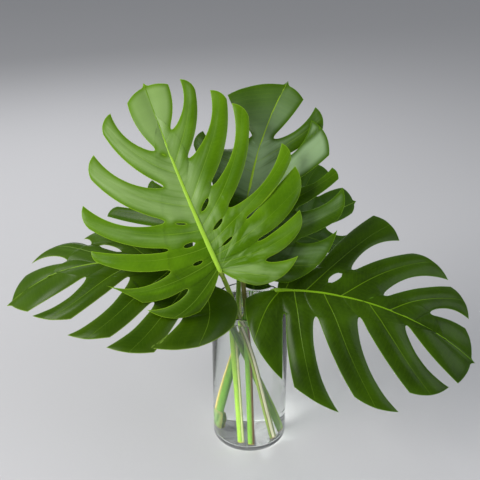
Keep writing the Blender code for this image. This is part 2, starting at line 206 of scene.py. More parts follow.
RIGHT = Leaf(
    name="leaf_right",
    junction=(0.033, -0.033, 0.243),
    azimuth=10,
    lean=45,
    heading=-115.4,
    length=259,
    rise=18,
    bow=-18,
    wing=(0.05, 0.05),
    fall=2.5,
    bulge=0.13,
    belly=0.04,
    foot=(0.07, 0.07),
    left=(
        Lobe(0.07, (-40, 34), (-38, 2), (-58, 30)),
        Lobe(0.18, (-54, 80), (-144, 88), (-116, 131), (0.35, 0.75, 4.2)),
        Lobe(0.40, (-34, 126), (-108, 149), (-87, 204)),
        Lobe(0.66, (-34, 188), (-84, 208), (-48, 242)),
    ),
    right=(
        Lobe(0.03, (26, 17), (19, -33), (101, 42), None, 0.0),
        Lobe(0.12, (19, 54), (107, 54), (115, 117), None, 0.10, 0.0, 0.0, 0.06),
        Lobe(0.30, (3, 104), (96, 126), (91, 185), None, 0.11, 0.0, 0.0, 0.09),
        Lobe(0.55, (-7, 162), (69, 189), (41, 237), None, 0.11),
    ),
    crown=((-38, 240), (37, 246)),
    stalk=(
        (-0.031, 0.006),
        (-0.026, 0.010, 0.036),
        (-0.009, 0.016, 0.140),
        (0.005, 0.010, 0.205),
        (0.017, -0.002, 0.216),
    ),
    sheath=(0.034, 0.0019),
)

LEFT = Leaf(
    name="leaf_left",
    junction=(-0.056, -0.026, 0.249),
    azimuth=-10,
    lean=32,
    heading=101.8,
    length=249,
    rise=36,
    bow=22,
    wing=(0.05, 0.05),
    fall=1.5,
    bulge=0.1,
    belly=0.04,
    foot=(0.36, 0.07),
    left=(
        Lobe(0.03, (-50, 28), (-53, -30), (-88, 66), None, 0.06, 4, 0.0, 0.18),
        Lobe(0.10, (-34, 60), (-96, 60), (-85, 117), None, 0.08),
        Lobe(0.22, (0, 89), (-77, 111), (-64, 164), None, 0.12),
        Lobe(0.45, (4, 142), (-47, 160), (-28, 212), None, 0.13),
    ),
    right=(
        Lobe(0.04, (36, 13), (26, -10), (46, 4)),
        Lobe(0.13, (48, 62), (66, 12), (62, 70)),
        Lobe(0.28, (50, 138), (72, 86), (63, 150), (0.45, 0.85, 3.0)),
        Lobe(0.53, (32, 168), (64, 158), (45, 220)),
    ),
    crown=((-26, 218), (34, 229)),
    stalk=((0.033, -0.004), (-0.006, -0.001, 0.140), (-0.028, -0.011, 0.205), (-0.045, -0.019, 0.237)),
)

REAR = Leaf(
    name="leaf_rear",
    junction=(-0.013, 0.042, 0.252),
    azimuth=25,
    lean=56,
    heading=-77.8,
    length=198,
    rise=10,
    bow=0,
    wing=(0.08, 0.08),
    fall=2.0,
    bulge=0.15,
    belly=0.04,
    foot=(0.07, 0.07),
    left=(
        Lobe(0.05, (-38, 30), (-50, -2), (-76, 40)),
        Lobe(0.25, (-38, 80), (-82, 74), (-84, 118)),
        Lobe(0.55, (-30, 136), (-80, 146), (-48, 178)),
    ),
    right=(
        Lobe(0.05, (30, 24), (30, -16), (54, 26)),
        Lobe(0.25, (24, 76), (58, 48), (58, 98)),
        Lobe(0.55, (14, 130), (54, 128), (35, 162)),
    ),
    crown=((-28, 188), (15, 184)),
    stalk=((-0.010, -0.031), (-0.014, 0.006, 0.140), (-0.015, 0.022, 0.205), (-0.014, 0.033, 0.232)),
)

LEAVES = (FRONT, BACK, RIGHT, LEFT, REAR)


def srgb(red, green, blue):
    """Linear colour of a display colour in 0 to 255."""
    parts = [v / 255 for v in (red, green, blue)]
    return tuple(v / 12.92 if v <= 0.04045 else ((v + 0.055) / 1.055) ** 2.4 for v in parts)


UNDERSIDE_GREEN = srgb(120, 150, 80)


# Leaf finishes. The first five colours are those of the upper face: its two greens, the pale green of a
# painted sheen, its veins and its border. Then come how strong the painted sheen and the veins are, the
# roughness, how wide the midrib is, and how strong the painted sheen rays at the stalk are; the share
# of the midrib where it turns green; a painted sheen patch beside the midrib: at what share, how strong,
# and how much of it on the left; and last the painted light and shade of each lobe, from -1, painted
# shade, to 1, painted sheen, on the left half and on the right, from the base up, with the crown last.
Finish = namedtuple(
    "Finish", "deep light bloom vein margin sheen veining roughness spine rays fade heart shine"
)
FINISHES = {
    "leaf_front": Finish(
        srgb(74, 116, 2), srgb(94, 138, 8), srgb(150, 182, 110), srgb(160, 205, 60),
        srgb(150, 195, 40), 0.85, 0.27, 0.34, 1.2, 0.7, 0.6, (0.3, 0.75, 0.0),
        ((-0.9, -0.6, -0.25, 0.3, 0.75, 0.7, 0.85), (0.4, 0.1, -0.15, -0.1, -0.05, 0.15, 0.35, 0.85)),
    ),
    "leaf_back": Finish(
        srgb(50, 82, 0), srgb(68, 104, 2), srgb(150, 180, 132), srgb(165, 205, 50),
        srgb(100, 145, 20), 0.9, 0.25, 0.34, 0.95, 0.3, 0.9, (0.52, 0.8, 0.9),
        ((0.0, 0.0, -0.2, -0.2, 0.35, 0.2), (0.15, 0.25, 0.0, 2.2, 0.2, 0.35)),
    ),
    "leaf_right": Finish(
        srgb(38, 62, 0), srgb(58, 90, 0), srgb(84, 120, 30), srgb(125, 170, 20),
        srgb(95, 140, 30), 0.5, 0.6, 0.30, 0.6, 0.2, 0.9, (0.3, 0.15, 0.5),
        ((0.3, 0.0, 0.0, 0.1, 0.1), (-0.1, -0.1, 0.1, 0.25, 0.0)),
    ),
    "leaf_left": Finish(
        srgb(46, 76, 0), srgb(60, 90, 0), srgb(90, 124, 44), srgb(130, 170, 40),
        srgb(130, 165, 60), 0.5, 0.6, 0.32, 0.7, 0.2, 0.85, (0.3, 0.15, 0.5),
        ((-0.2, -0.1, -0.1, 0.3, 0.5), (0.0, 0.0, 0.4, 0.6, 0.6)),
    ),
    "leaf_rear": Finish(
        srgb(50, 86, 0), srgb(66, 104, 4), srgb(110, 145, 80), srgb(130, 170, 40),
        srgb(110, 155, 20), 0.4, 0.5, 0.34, 0.8, 0.2, 0.85, (0.3, 0.15, 0.5),
        ((0.0, 0.0, 0.0, 0.1), (0.0, 0.0, 0.0, 0.1)),
    ),
}

# Stalk finishes: the skin under the rim and over it, the dry streak and the lines beside it, the knee under
# the blade, and where the streak lies, in degrees round the stalk, with -90 at the front.
StalkFinish = namedtuple("StalkFinish", "skin upper streak second knee turn")
STALK_FINISHES = {
    "leaf_front": StalkFinish(
        srgb(150, 180, 70), srgb(150, 185, 55), srgb(255, 252, 215), srgb(95, 62, 36),
        srgb(190, 220, 85), -60,
    ),
    "leaf_back": StalkFinish(
        srgb(120, 175, 50), srgb(125, 110, 60), srgb(130, 90, 60), srgb(150, 120, 70),
        srgb(140, 150, 60), -35,
    ),
    "leaf_right": StalkFinish(
        srgb(105, 160, 45), srgb(140, 180, 50), srgb(225, 205, 120), srgb(150, 140, 60),
        srgb(140, 185, 50), 175,
    ),
    "leaf_left": StalkFinish(
        srgb(85, 130, 20), srgb(115, 160, 50), srgb(120, 160, 40), srgb(70, 100, 25),
        srgb(140, 180, 50), -20,
    ),
    "leaf_rear": StalkFinish(
        srgb(155, 200, 60), srgb(145, 180, 70), srgb(245, 245, 185), srgb(120, 150, 60),
        srgb(140, 180, 50), -50,
    ),
}


class BladeSettings(bpy.types.PropertyGroup):
    thickness: bpy.props.FloatProperty(
        name="Thickness", description="Thickness of a leaf blade", default=0.0005, min=0.0002, max=0.001,
        precision=4, unit="LENGTH",
    )
    groove: bpy.props.FloatProperty(
        name="Vein Groove", description="How deep a lobe folds in along its main vein", default=0.0018,
        min=0.0, max=0.003, precision=4, unit="LENGTH",
    )
    wave: bpy.props.FloatProperty(
        name="Wave", description="Height of the slow waves in a blade", default=0.0014, min=0.0, max=0.004,
        precision=4, unit="LENGTH",
    )
    rolled: bpy.props.FloatProperty(
        name="Rolled Edge", description="How far the free edges turn down", default=0.0009, min=0.0,
        max=0.003, precision=4, unit="LENGTH",
    )


class VaseSettings(bpy.types.PropertyGroup):
    radius: bpy.props.FloatProperty(
        name="Radius", description="Outer radius of the vase", default=(VASE_BOX[1].x - VASE_BOX[0].x) / 2,
        unit="LENGTH",
    )
    height: bpy.props.FloatProperty(
        name="Height", description="Height of the vase", default=VASE_BOX[1].z, unit="LENGTH",
    )
    wall: bpy.props.FloatProperty(
        name="Wall", description="Thickness of the glass wall", default=0.003, precision=4, unit="LENGTH",
    )
    base: bpy.props.FloatProperty(
        name="Base", description="Thickness of the glass base", default=0.006, precision=4, unit="LENGTH",
    )
    heel: bpy.props.FloatProperty(
        name="Heel", description="Radius of the rounded heel", default=0.006, precision=4, unit="LENGTH",
    )
    water_top: bpy.props.FloatProperty(
        name="Water Level", description="Height of the water's surface", default=WATER_BOX[1].z,
        unit="LENGTH",
    )


class StudioSettings(bpy.types.PropertyGroup):
    floor: bpy.props.FloatVectorProperty(
        name="Floor", description="Colour of the floor", default=srgb(202, 202, 205), min=0.0, max=1.0,
        size=3, subtype="COLOR",
    )
    key_power: bpy.props.FloatProperty(
        name="Key Power", description="Power of the main light", default=60.0, min=0.0, unit="POWER",
    )
    fill_power: bpy.props.FloatProperty(
        name="Fill Power", description="Power of the fill light", default=10.0, min=0.0, unit="POWER",
    )
    ambient: bpy.props.FloatProperty(
        name="Ambient", description="Strength of the light from all round", default=0.33, min=0.0,
    )


class Wire:
    """A shader socket. Arithmetic on it adds Math nodes."""

    def __init__(self, shader, socket):
        self.shader = shader
        self.socket = socket

    def math(self, operation, *values):
        return self.shader.node("ShaderNodeMath", {"operation": operation}, dict(enumerate(values)))

    def __add__(self, other):
        return self.math("ADD", self, other)

    def __sub__(self, other):
        return self.math("SUBTRACT", self, other)

    def __rsub__(self, other):
        return self.math("SUBTRACT", other, self)

    def __mul__(self, other):
        return self.math("MULTIPLY", self, other)

    def __rmul__(self, other):
        return self.math("MULTIPLY", other, self)

    def __truediv__(self, other):
        return self.math("DIVIDE", self, other)

    def __pow__(self, other):
        return self.math("POWER", self, other)

    def __abs__(self):
        return self.math("ABSOLUTE", self)

    def sine(self):
        return self.math("SINE", self)

    def at_least(self, other):
        return self.math("MAXIMUM", self, other)

    def smooth(self, low, high):
        """0 below low and 1 above high with a soft step between, or the reverse if low is above high."""
        return self.shader.node(
            "ShaderNodeMapRange", {"interpolation_type": "SMOOTHSTEP"},
            {0: self, 1: low, 2: high, 3: 0.0, 4: 1.0},
        )


class Shader:
    """A material whose nodes are added one by one."""

    def __init__(self, name):
        self.material = bpy.data.materials.new(name)
        self.material.use_nodes = True
        self.tree = self.material.node_tree
        self.tree.nodes.clear()

    def node(self, kind, settings=None, inputs=None, output=0):
        """Add a node, set its settings first and then its sockets, and return one of its outputs."""
        added = self.tree.nodes.new(kind)
        for key, value in (settings or {}).items():
            if key == "stops":
                self.set_stops(added.color_ramp, value)
            else:
                setattr(added, key, value)
        for key, value in (inputs or {}).items():
            if isinstance(value, Wire):
                self.tree.links.new(value.socket, added.inputs[key])
            else:
                added.inputs[key].default_value = value
        return Wire(self, added.outputs[output])

    @staticmethod
    def set_stops(ramp, stops):
        while len(ramp.elements) < len(stops):
            ramp.elements.new(1.0)
        for element, (position, colour) in zip(ramp.elements, stops):
            element.position = position
            element.color = (*colour, 1.0)

    def mix(self, factor, low, high):
        """Colour between low and high."""
        pair = [v if isinstance(v, Wire) else (*v, 1.0) for v in (low, high)]
        return self.node("ShaderNodeMix", {"data_type": "RGBA"}, {0: factor, 6: pair[0], 7: pair[1]}, 2)

    def attribute(self, name):
        return self.node("ShaderNodeAttribute", {"attribute_name": name}, output="Fac")

    def chart(self, name):
        return self.node("ShaderNodeUVMap", {"uv_map": name})

    def place(self):
        return self.node("ShaderNodeTexCoord", output="Object")

    def split(self, vector):
        """The three parts of a vector."""
        parts = self.node("ShaderNodeSeparateXYZ", inputs={0: vector}).socket.node.outputs
        return [Wire(self, part) for part in parts]

    def noise(self, place, scale, detail=3.0, distortion=0.0):
        return self.node(
            "ShaderNodeTexNoise", None,
            {"Vector": place, "Scale": scale, "Detail": detail, "Distortion": distortion}, "Fac",
        )

    def stretched(self, place, scale):
        return self.node("ShaderNodeVectorMath", {"operation": "MULTIPLY"}, {0: place, 1: scale})

    def bump(self, height, strength, distance):
        return self.node(
            "ShaderNodeBump", None, {"Height": height, "Strength": strength, "Distance": distance}, "Normal"
        )

    def surface(self, **sockets):
        names = {"ior": "IOR", "specular_ior_level": "Specular IOR Level"}
        inputs = {names.get(key, key.replace("_", " ").title()): value for key, value in sockets.items()}
        for key, value in inputs.items():
            if isinstance(value, tuple) and len(value) == 3:
                inputs[key] = (*value, 1.0)
        return self.node("ShaderNodeBsdfPrincipled", None, inputs)

    def finish(self, shader):
        out = self.tree.nodes.new("ShaderNodeOutputMaterial")
        self.tree.links.new(shader.socket, out.inputs["Surface"])
        return self.material


def fine_veins(along, side, drift):
    """1 on the fine side veins that slant off a lobe's main vein, falling to 0 between them."""
    run = along - side * 0.75 + (drift - 0.5) * 0.05
    return 1.0 - abs((run * (math.pi / FINE_VEIN_STEP)).sine())


def lit_through(paint, body, colour):
    """Blade surface that lets a little light through from behind."""
    glow = paint.node("ShaderNodeBsdfTranslucent", None, {"Color": (*colour, 1.0)})
    return paint.finish(paint.node("ShaderNodeMixShader", None, {0: BLADE_GLOW, 1: body, 2: glow}))


def leaf_upper(name, finish):
    """Upper face of a blade: two greens, painted shade and sheen, pale veins and a yellow-green margin."""
    paint = Shader(name)
    plane = paint.chart("plane")
    along, across, _ = paint.split(paint.chart("lobe"))
    edge = paint.attribute("edge")
    drift = paint.noise(plane, 1.6, 2.0)
    mottle = paint.noise(plane, 22.0, 5.0)
    brushed = paint.noise(paint.stretched(paint.chart("lobe"), (1.6, 16.0, 1.0)), 1.0, 3.0, 0.4)
    side = abs(across)
    width = (0.010 - 0.008 * along).at_least(0.0022)
    vein = (1.0 - side / width).smooth(0.0, 0.9)
    feather = fine_veins(along, side, drift) ** 7.0 * side.smooth(0.0, 0.02) * edge.smooth(0.5, 6.0)
    colour = paint.mix((drift * 0.8 + mottle * 0.2).smooth(0.32, 0.68), finish.deep, finish.light)
    # Painted shade colour, half the deep green; noise streaks break up the painted light and shade
    dark = tuple(0.5 * v for v in finish.deep)
    streaks = (brushed - 0.5) * 1.7 + (drift - 0.5) * 0.5
    # Painted light and shade of each point: below zero painted shade, above zero painted sheen, faded at the
    # edge
    shine = paint.attribute("shine")
    shine = shine + streaks * (abs(shine) * 0.6 + 0.3)
    colour = paint.mix(shine.smooth(-0.1, -1.0) * 0.75, colour, dark)
    colour = paint.mix(shine.smooth(0.0, 1.1) * edge.smooth(0.0, 8.0) * finish.sheen, colour, finish.bloom)
    # Painted sheen rays: pale streaks fanning out from the stalk over the right half of the blade
    right, up, _ = paint.split(plane)
    reach = (right * right + up * up) ** 0.5
    fan = paint.node("ShaderNodeCombineXYZ", inputs={0: up.math("ARCTAN2", up, right) * 4.5, 1: reach * 2.4})
    spokes = paint.noise(fan, 1.0, 3.0, 0.5).smooth(0.45, 0.66)
    rays = spokes * reach.smooth(1.05, 0.30) * right.smooth(0.0, 0.12)
    colour = paint.mix(rays * finish.rays, colour, finish.bloom)
    colour = paint.mix(feather * 0.06, colour, finish.vein)
    colour = paint.mix(vein * finish.veining, colour, finish.vein)
    colour = paint.mix(edge.smooth(7.0, 0.5) * 0.10, colour, finish.margin)
    colour = paint.mix(edge.smooth(0.9, 0.2) * 0.7, colour, finish.margin)
    height = mottle * 0.10 + brushed * 0.25 - feather * 0.10 - vein * 0.8
    body = paint.surface(
        base_color=colour,
        roughness=(brushed - 0.5) * 0.16 + finish.roughness,
        normal=paint.bump(height, 0.5, 0.0006),
        coat_weight=0.03,
        coat_roughness=0.22,
        specular_ior_level=0.15,
        ior=1.42,
    )
    return lit_through(paint, body, finish.light)


def leaf_under(name, finish):
    """Underside of a blade: paler and duller, with raised pale veins."""
    paint = Shader(name)
    plane = paint.chart("plane")
    along, across, _ = paint.split(paint.chart("lobe"))
    edge = paint.attribute("edge")
    drift = paint.noise(plane, 2.0, 2.0)
    mottle = paint.noise(plane, 30.0, 5.0)
    side = abs(across)
    vein = (1.0 - side / (0.016 - 0.012 * along).at_least(0.003)).smooth(0.0, 0.9)
    feather = fine_veins(along, side, drift) ** 6.0 * edge.smooth(0.5, 5.0)
    dull = tuple(0.55 * a + 0.45 * b for a, b in zip(finish.light, UNDERSIDE_GREEN))
    shade = tuple(0.7 * a + 0.1 * b for a, b in zip(finish.light, UNDERSIDE_GREEN))
    colour = paint.mix((drift * 0.7 + mottle * 0.3).smooth(0.3, 0.7), shade, dull)
    colour = paint.mix(feather * 0.25 + vein * 0.8, colour, srgb(160, 190, 90))
    colour = paint.mix(edge.smooth(1.2, 0.3), colour, finish.margin)
    height = mottle * 0.15 + feather * 0.3 + vein * 1.0
    body = paint.surface(
        base_color=colour, roughness=mottle * 0.2 + 0.42, normal=paint.bump(height, 0.6, 0.0008), ior=1.4,
        specular_ior_level=0.18,
    )
    return lit_through(paint, body, finish.light)


def leaf_rim(name, finish):
    """Cut edge of a blade."""
    paint = Shader(name)
    grain = paint.noise(paint.chart("plane"), 12.0, 3.0)
    colour = paint.mix(grain, finish.margin, srgb(190, 205, 80))
    return paint.finish(paint.surface(base_color=colour, roughness=grain * 0.2 + 0.35))


def midrib_skin(name, finish):
    """Raised midrib: bright yellow-green at the stalk, greener towards the apex, with lengthwise lines."""
    paint = Shader(name)
    chart = paint.chart("stalk")
    along = paint.attribute("along")
    lines = paint.noise(paint.stretched(chart, (40.0, 2.0, 1.0)), 1.0, 3.0)
    blend = tuple(0.5 * a + 0.5 * b for a, b in zip(finish.vein, finish.light))
    colour = paint.mix(along.smooth(0.2, 1.0) * 0.6 + lines * 0.15, finish.vein, blend)
    colour = paint.mix(along.smooth(finish.fade, finish.fade + 0.3) * 0.8, colour, finish.light)
    return paint.finish(
        paint.surface(
            base_color=colour, roughness=lines * 0.2 + 0.3, normal=paint.bump(lines, 0.25, 0.0004),
            specular_ior_level=0.2,
        )
    )


def stalk_skin(name, finish, top):
    """Stalk: green skin with fine lines, a dry streak below the rim, and a bright knee at its top."""
    paint = Shader(name)
    chart = paint.chart("stalk")
    streak = paint.attribute("streak")
    rise = paint.attribute("rise")
    lines = paint.noise(paint.stretched(chart, (34.0, 3.0, 1.0)), 1.0, 4.0)
    blotch = paint.noise(paint.stretched(chart, (3.0, 9.0, 1.0)), 1.0, 3.0)
    colour = paint.mix(rise.smooth(0.17, 0.24), finish.skin, finish.upper)
    dark = tuple(0.6 * v for v in finish.skin)
    colour = paint.mix(lines.smooth(0.48, 0.75) * 0.5, colour, dark)
    wobble = streak + (blotch - 0.5) * 0.06
    below = rise.smooth(0.215, 0.19)
    beside = wobble.smooth(0.70, 0.86) * wobble.smooth(0.93, 0.88) * 0.8
    colour = paint.mix(beside * below, colour, finish.second)
    colour = paint.mix(wobble.smooth(0.88, 0.94) * below, colour, finish.streak)
    dry = lines.smooth(0.56, 0.70) * rise.smooth(0.19, 0.22) * 0.45
    colour = paint.mix(dry, colour, finish.second)
    colour = paint.mix(rise.smooth(top - 0.045, top - 0.008) * 0.75, colour, finish.knee)
    colour = paint.mix(rise.smooth(0.0105, 0.0075) * 0.7, colour, srgb(150, 120, 60))
    return paint.finish(
        paint.surface(
            base_color=colour, roughness=lines * 0.2 + 0.3, normal=paint.bump(lines, 0.3, 0.0005),
            specular_ior_level=0.25,
        )
    )


def sheath_skin(name):
    """Soft old sheath: pale green with lengthwise lines, going brown and dry at its edge."""
    paint = Shader(name)
    chart = paint.chart("stalk")
    edge = paint.attribute("edge")
    lines = paint.noise(paint.stretched(chart, (14.0, 1.5, 1.0)), 1.0, 3.0)
    colour = paint.mix(lines.smooth(0.3, 0.7), srgb(105, 165, 55), srgb(170, 210, 110))
    colour = paint.mix(edge.smooth(0.72, 1.0) * 0.7, colour, srgb(170, 160, 80))
    return paint.finish(
        paint.surface(base_color=colour, roughness=lines * 0.2 + 0.4, normal=paint.bump(lines, 0.4, 0.0005))
    )


def let_light_in(paint, body, tint):
    """Clear body that casts no dark shadow: shadow rays pass straight through it with a tint."""
    shadow = paint.node("ShaderNodeLightPath", output="Is Shadow Ray")
    through = paint.node("ShaderNodeBsdfTransparent", None, {"Color": (*tint, 1.0)})
    return paint.finish(paint.node("ShaderNodeMixShader", None, {0: shadow, 1: body, 2: through}))


def glass_finish(name):
    """Clear soda glass with a trace of green, faint drawn waves and a few dried water marks at the rim."""
    paint = Shader(name)
    place = paint.place()
    waves = paint.noise(paint.stretched(place, (6.0, 6.0, 1.5)), 3.0, 1.0)
    marks = paint.noise(place, 160.0, 4.0)
    height = paint.split(place)[2]
    dried = marks.smooth(0.62, 0.72) * height.smooth(0.200, 0.206)
    body = paint.surface(
        base_color=(0.985, 0.995, 0.99),
        roughness=dried * 0.12,
        transmission_weight=1.0,
        ior=1.5,
        normal=paint.bump(waves, 0.10, 0.001),
    )
    return let_light_in(paint, body, (0.98, 0.99, 0.985))


def water_finish(name):
    """Clear water with the faintest green and a barely moving surface."""
    paint = Shader(name)
    place = paint.place()
    ripple = paint.noise(place, 45.0, 1.0)
    body = paint.surface(
        base_color=(0.985, 0.998, 0.985),
        roughness=0.0,
        transmission_weight=1.0,
        ior=1.333,
        normal=paint.bump(ripple, 0.03, 0.0005),
    )
    return let_light_in(paint, body, (0.99, 1.0, 0.99))


def floor_finish(name, colour):
    """Plain matt floor with a faint grain."""
    paint = Shader(name)
    grain = paint.noise(paint.place(), 300.0, 4.0)
    dark = tuple(0.97 * v for v in colour)
    speckled = paint.mix(grain, tuple(colour), dark)
    return paint.finish(
        paint.surface(base_color=speckled, roughness=0.75, normal=paint.bump(grain, 0.05, 0.0005))
    )


def mesh_from(bm, name):
    """Mesh data from a bmesh, which is freed."""
    mesh = bpy.data.meshes.new(name)
    bm.to_mesh(mesh)
    bm.free()
    return mesh


def mark_points(mesh, **marks):
    """Store a value at every point of a mesh under each name, for the materials to read."""
    for name, values in marks.items():
        mesh.attributes.new(name, "FLOAT", "POINT").data.foreach_set("value", values)


def placed(mesh, sharp, body="root"):
    """Object of the mesh's own name that rides the body, smooth but for edges sharper than an angle."""
    mesh.shade_smooth()
    mesh.set_sharp_from_angle(angle=math.radians(sharp))
    thing = bpy.data.objects.new(mesh.name, mesh)
    bpy.context.scene.collection.objects.link(thing)
    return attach(thing, body)


def grown(leaf, mesh, sharp=60):
    """Place a part of a leaf, which stands in for the leaf's solid."""
    thing = placed(mesh, sharp)
    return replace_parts(thing, leaf.name)


def interpolate(table, x):
    """Value at x in a table of (x, value) pairs, held constant past its ends."""
    for (x0, v0), (x1, v1) in zip(table, table[1:]):
        if x < x1:
            return v0 + (v1 - v0) * max(0.0, (x - x0) / (x1 - x0))
    return table[-1][1]


def smooth_path(points, steps):
    """Points along a smooth curve that passes through every given point."""
    first = points[0] * 2 - points[1]
    last = points[-1] * 2 - points[-2]
    knots = [first, *points, last]
    path = []
    for a, b, c, d in zip(knots, knots[1:], knots[2:], knots[3:]):
        for k in range(steps):
            t = k / steps
            bend = (a * 2 - b * 5 + c * 4 - d) * t**2 + (b * 3 - a - c * 3 + d) * t**3
            path.append((b * 2 + (c - a) * t + bend) / 2)
    return path + [points[-1]]


def direction(path, i):
    """Unit vector along a path at one of its points."""
    return (path[min(i + 1, len(path) - 1)] - path[max(i - 1, 0)]).normalized()


def placement(leaf):
    """Matrix from the leaf's plane, in millimetres, to the world, in metres."""
    turn = Matrix.Rotation(math.radians(leaf.azimuth), 4, "Z")
    lean = Matrix.Rotation(math.radians(leaf.lean), 4, "X")
    heading = Matrix.Rotation(math.radians(leaf.heading), 4, "Z")
    return Matrix.Translation(leaf.junction) @ turn @ lean @ heading @ Matrix.Scale(MM, 4)


def midrib(leaf, share):
    """Point of the midrib at a share of its length, bowed to one side."""
    return Vector((4 * leaf.bow * share * (1 - share), leaf.length * share))


def blade_height(leaf, x, y):
    """Height over the leaf's plane: arched along the midrib, raised beside it and falling to the edge."""
    share = y / leaf.length
    spine = midrib(leaf, max(0.0, share)).x
    side = abs(x - spine)
    wing = leaf.wing[x > spine]
    return leaf.rise * 4 * share * (1 - share) + wing * side - leaf.fall * side**2 / 2000


def crown_fall(leaf, y):
    """How far the crown has fallen at a distance up the midrib, in millimetres."""
    return CROWN_FALL * max(0.0, (y / leaf.length - CROWN_START) / (1 - CROWN_START)) ** 3


def stalk_radius(leaf, point):
    """Radius of the stalk at a point: tapering upwards, swollen under the blade and in the sheath."""
    away = (point - Vector(leaf.junction)).length
    swell = KNEE_SWELL * math.sin(math.pi * min(1.0, away / KNEE_LENGTH))
    height, thicker = leaf.sheath
    if point.z < height:
        swell = thicker * math.sin(math.pi * point.z / height)
    return interpolate(STALK_RADII, point.z) + swell


def stalk_path(leaf, base_thickness):
    """Middle line of the stalk, from its slanting foot just over the vase's floor to the blade."""
    foot = Vector((*leaf.stalk[0], base_thickness))
    upper = [Vector(point) for point in leaf.stalk[1:]]
    slant = (upper[0] - foot).normalized()
    foot.z += FOOT_GAP + stalk_radius(leaf, foot) * math.hypot(slant.x, slant.y)
    return smooth_path([foot, *upper, Vector(leaf.junction)], STALK_STEPS)


def even(steps):
    return [i / steps for i in range(steps + 1)]


def eased(steps):
    """Shares from 0 to 1 that lie closer together at both ends."""
    return [0.5 - 0.5 * math.cos(math.pi * i / steps) for i in range(steps + 1)]


def bowed(start, end, bow, shares):
    """Points from start to end along a shallow arc that bows to the right of the way by a share of it."""
    way = end - start
    beside = Vector((way.y, -way.x))
    return [start + way * t + beside * (4 * bow * t * (1 - t)) for t in shares]


def opened(points, amount, sign):
    """The free edge of a lobe, moved sideways so that the slot has a rounded inner end."""
    moved = [points[0]]
    for before, point in zip(points, points[1:]):
        way = (point - before).normalized()
        share = min(1.0, (point - points[0]).length / (4 * SLOT_END))
        offset = amount * math.sqrt(1 - (1 - share) ** 2)
        moved.append(point + Vector((way.y, -way.x)) * (offset * sign))
    return moved


def joined_edge(start, sinus, hole, sign, side):
    """The line that two lobes share from the midrib out to the slot, round the hole on it."""
    first, last, width = hole or (0.25, 0.75, 0.0)
    line = []
    for share in even(INNER_STEPS):
        along = interpolate(((0, 0), (0.25, first), (0.75, last), (1, 1)), share)
        spread = width * math.sqrt(max(0.0, 1 - (4 * share - 2) ** 2))
        point = bowed(start, sinus, VEIN_BOW * side, [along])[0]
        way = (sinus - start).normalized()
        line.append(point + Vector((way.y, -way.x)) * (spread * sign))
    return line


ROW_SHARES = [0.5 * t for t in even(INNER_STEPS)] + [0.5 + 0.5 * t for t in eased(OUTER_STEPS)[1:]]
COLUMN_SHARES = eased(CROSS_STEPS)


def patch(low, high, basal, apical):
    """Grid of points filling four edges: rows run from low to high and columns from basal to apical."""
    grid = []
    for i, v in enumerate(ROW_SHARES):
        row = []
        for j, u in enumerate(COLUMN_SHARES):
            lengthwise = low[j] * (1 - v) + high[j] * v
            crosswise = basal[i] * (1 - u) + apical[i] * u
            corners = (low[0] * (1 - u) + low[-1] * u) * (1 - v) + (high[0] * (1 - u) + high[-1] * u) * v
            row.append(lengthwise + crosswise - corners)
        grid.append(row)
    return grid


def drip_tip(distance):
    """How far the crown's outline is drawn out at a distance from the apex."""
    return Vector((0, DRIP_TIP * max(0.0, 1 - distance / DRIP_WIDTH) ** 2))


def lobe_grids(leaf, side):
    """Each lobe of a half blade with its grid, from the base to the crown, whose lobe is None.

    side is 1 for the right half and -1 for the left.
    """
    lobes = leaf.right if side > 0 else leaf.left
    inset = Vector((SPINE_GAP * side, 0))
    crown = Vector(leaf.crown[side > 0])
    free = eased(OUTER_STEPS)
    grids = []
    root = 0.0
    for k, lobe in enumerate((*lobes, None)):
        start = midrib(leaf, root) + inset
        bulge = CROWN_BULGE
        if lobe is None:
            apical = [midrib(leaf, root + (1 - root) * t) + inset for t in ROW_SHARES]
            shoulder = crown
            low = [start] * (CROSS_STEPS + 1)
        else:
            sinus, shoulder, tip = Vector(lobe.sinus), Vector(lobe.shoulder), Vector(lobe.tip)
            end = midrib(leaf, lobe.root) + inset
            low = [midrib(leaf, root + (lobe.root - root) * t) + inset for t in COLUMN_SHARES]
            inner = joined_edge(end, sinus, lobe.hole, side, side)
            outer = bowed(sinus, tip, lobe.bow * side, free)
            apical = inner + opened(outer, SLOT_END, side)[1:]
            bulge = leaf.bulge if lobe.bulge is None else lobe.bulge
        if k == 0:
            basal = bowed(start, shoulder, leaf.foot[side > 0] * side, ROW_SHARES)
        else:
            inner = joined_edge(start, slot_end, hole, -side, side)
            outer = bowed(slot_end, shoulder, leaf.belly * side, free)
            basal = inner + opened(outer, SLOT_END, -side)[1:]
        high = bowed(basal[-1], apical[-1], bulge * side, COLUMN_SHARES)
        if lobe is None:
            high = [p + drip_tip((p - high[-1]).length) for p in high]
            apical = [p + drip_tip(0.0) * t**4 for p, t in zip(apical, ROW_SHARES)]
        grids.append((lobe, patch(low, high, basal, apical)))
        if lobe is not None:
            root, slot_end, hole = lobe.root, sinus, lobe.hole
    return grids


def edge_distances(points, segments):
    """Distance of each point from the nearest of the segments."""
    points = np.array(points)
    starts, ends = np.array(segments)[:, 0], np.array(segments)[:, 1]
    ways = ends - starts
    lengths = np.maximum((ways**2).sum(1), 1e-9)
    nearest = []
    for some in np.array_split(points, max(1, len(points) // 1500)):
        offset = some[:, None] - starts[None]
        share = np.clip((offset * ways).sum(2) / lengths, 0, 1)
        nearest.append(np.sqrt(((offset - share[..., None] * ways) ** 2).sum(2)).min(1))
    return np.concatenate(nearest)


def smoothed(path, rounds=120):
    """A polyline with its bends evened out between its fixed ends."""
    points = np.array([tuple(point) for point in path])
    for _ in range(rounds):
        points[1:-1] = 0.5 * points[1:-1] + 0.25 * (points[:-2] + points[2:])
    return points


